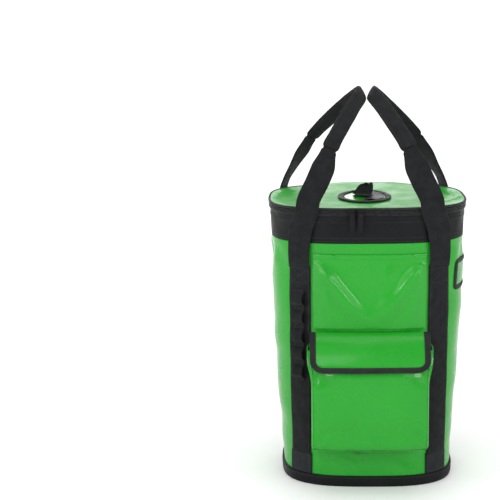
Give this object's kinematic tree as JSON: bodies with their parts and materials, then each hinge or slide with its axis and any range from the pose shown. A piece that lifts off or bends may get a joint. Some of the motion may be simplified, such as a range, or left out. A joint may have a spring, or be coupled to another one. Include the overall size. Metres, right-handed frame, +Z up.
{
  "type": "rope storage bag",
  "caption": "Tapered bucket-shaped rope bag with a zipped lid, webbing carry handles, padded shoulder straps on the back and a flapped pocket on the front.",
  "frame": {"origin": "middle of the base's underside, on the surface that the bag stands on", "axes": "+Z up out of the lid, +X across the bag, the pocket side faces -Y and the shoulder straps +Y"},
  "size_m": [0.347, 0.3443, 0.6931],
  "materials": {
    "green_tarpaulin": "glossy PVC-coated polyester tarpaulin, bright green, softly creased",
    "black_coated_fabric": "black coated polyester with a fine plain weave, low sheen",
    "black_webbing": "matte black polyester webbing with a ribbed weave",
    "black_binding": "folded black binding tape with a grosgrain rib",
    "wear_patch_fabric": "dark grey coarse abrasion-resistant nylon",
    "zip": "glossy black coil zip on black tape",
    "black_metal": "black lacquered zinc",
    "black_plastic": "moulded black nylon, satin",
    "stiffener_board": "matt black polypropylene board",
    "clear_window": "thin clear PVC sheet, glossy"
  },
  "bodies": {
    "bag": {"base_panel": "black_coated_fabric", "base_stiffener": "stiffener_board", "base_trim": "black_binding", "body_shell": "green_tarpaulin", "collar": "black_coated_fabric", "rim_hoop": "black_plastic", "zip_tape_lower": "zip", "lid_hinge_panel": "green_tarpaulin", "front_strap_left": "black_webbing", "front_wear_patch_left": "wear_patch_fabric", "back_strap_left": "black_webbing", "back_wear_patch_left": "wear_patch_fabric", "front_strap_right": "black_webbing", "front_wear_patch_right": "wear_patch_fabric", "back_strap_right": "black_webbing", "back_wear_patch_right": "wear_patch_fabric", "front_riser_left": "black_webbing", "back_riser_left": "black_webbing", "front_riser_right": "black_webbing", "back_riser_right": "black_webbing", "front_overlay_panel": "green_tarpaulin", "pocket_body": "green_tarpaulin", "gear_loop_1": "black_webbing", "gear_loop_2": "black_webbing", "gear_loop_3": "black_webbing", "gear_loop_4": "black_webbing", "gear_loop_5": "black_webbing", "card_window_border": "black_binding", "card_window": "clear_window", "back_panel": "green_tarpaulin", "shoulder_strap_band": "black_webbing", "anchor_wing_left": "green_tarpaulin", "lower_webbing_left": "black_webbing", "anchor_wing_right": "green_tarpaulin", "lower_webbing_right": "black_webbing"},
    "lid": {"lid_panel": "green_tarpaulin", "lid_binding": "black_binding", "zip_tape_upper": "zip", "port_rim": "black_binding"},
    "port_cover": {"port_flap": "green_tarpaulin", "port_pull_tab": "black_webbing"},
    "slider_left": {"zip_slider_left": "black_metal"},
    "slider_right": {"zip_slider_right": "black_metal"},
    "pull_left": {"zip_pull_left": "black_metal"},
    "pull_right": {"zip_pull_right": "black_metal"},
    "pocket_flap": {"flap_panel": "green_tarpaulin", "flap_binding": "black_binding"},
    "carry_left": {"handle_left": "black_webbing", "grip_left": "black_webbing"},
    "carry_right": {"handle_right": "black_webbing", "grip_right": "black_webbing"},
    "haul": {"haul_loop": "black_webbing"},
    "shoulder_left": {"shoulder_pad_left": "green_tarpaulin", "shoulder_binding_left": "black_binding", "strap_tongue_left": "black_webbing", "ladder_lock_left": "black_plastic"},
    "shoulder_right": {"shoulder_pad_right": "green_tarpaulin", "shoulder_binding_right": "black_binding", "strap_tongue_right": "black_webbing", "ladder_lock_right": "black_plastic"}
  },
  "joints": [
    {"name": "lid_hinge", "type": "hinge", "parent": "bag", "child": "lid", "pos_m": [0, 0.1436, 0.4934], "axis": [-1, 0, 0], "range_deg": [0, 105]},
    {"name": "port_hinge", "type": "hinge", "parent": "lid", "child": "port_cover", "pos_m": [-0.004, 0.032, 0.5], "axis": [-1, 0, 0], "range_deg": [0, 100]},
    {"name": "zip_left_slide", "type": "slide", "parent": "bag", "child": "slider_left", "axis": [-1, 0, 0], "range_m": [0, 0.035]},
    {"name": "zip_right_slide", "type": "slide", "parent": "bag", "child": "slider_right", "axis": [1, 0, 0], "range_m": [0, 0.06]},
    {"name": "pull_left_hinge", "type": "hinge", "parent": "slider_left", "child": "pull_left", "pos_m": [-0.03, -0.1506, 0.491], "axis": [-1, 0, 0], "range_deg": [0, 90]},
    {"name": "pull_right_hinge", "type": "hinge", "parent": "slider_right", "child": "pull_right", "pos_m": [-0.016, -0.1506, 0.491], "axis": [-1, 0, 0], "range_deg": [0, 90]},
    {"name": "pocket_flap_hinge", "type": "hinge", "parent": "bag", "child": "pocket_flap", "pos_m": [0, -0.1395, 0.284], "axis": [-1, 0, 0], "range_deg": [0, 90]},
    {"name": "handle_left_fold", "type": "hinge", "parent": "bag", "child": "carry_left", "pos_m": [-0.1042, -0.147, 0.51], "axis": [0.1631, -0.9866, 0], "range_deg": [0, 178.5]},
    {"name": "handle_right_fold", "type": "hinge", "parent": "bag", "child": "carry_right", "pos_m": [0.1042, -0.147, 0.51], "axis": [0.1631, 0.9866, 0], "range_deg": [0, 178.5]},
    {"name": "haul_loop_hinge", "type": "hinge", "parent": "bag", "child": "haul", "pos_m": [0, 0.1426, 0.432], "axis": [-1, 0, 0], "range_deg": [0, 90]},
    {"name": "shoulder_left_hinge", "type": "hinge", "parent": "bag", "child": "shoulder_left", "pos_m": [-0.035, 0.143, 0.419], "axis": [1, 0, 0], "range_deg": [0, 25]},
    {"name": "shoulder_right_hinge", "type": "hinge", "parent": "bag", "child": "shoulder_right", "pos_m": [0.035, 0.143, 0.419], "axis": [1, 0, 0], "range_deg": [0, 25]}
  ],
  "couplings": [
    {"joint": "handle_left_fold", "follows": "lid_hinge", "ratio": 1.7},
    {"joint": "handle_right_fold", "follows": "lid_hinge", "ratio": 1.7}
  ]
}
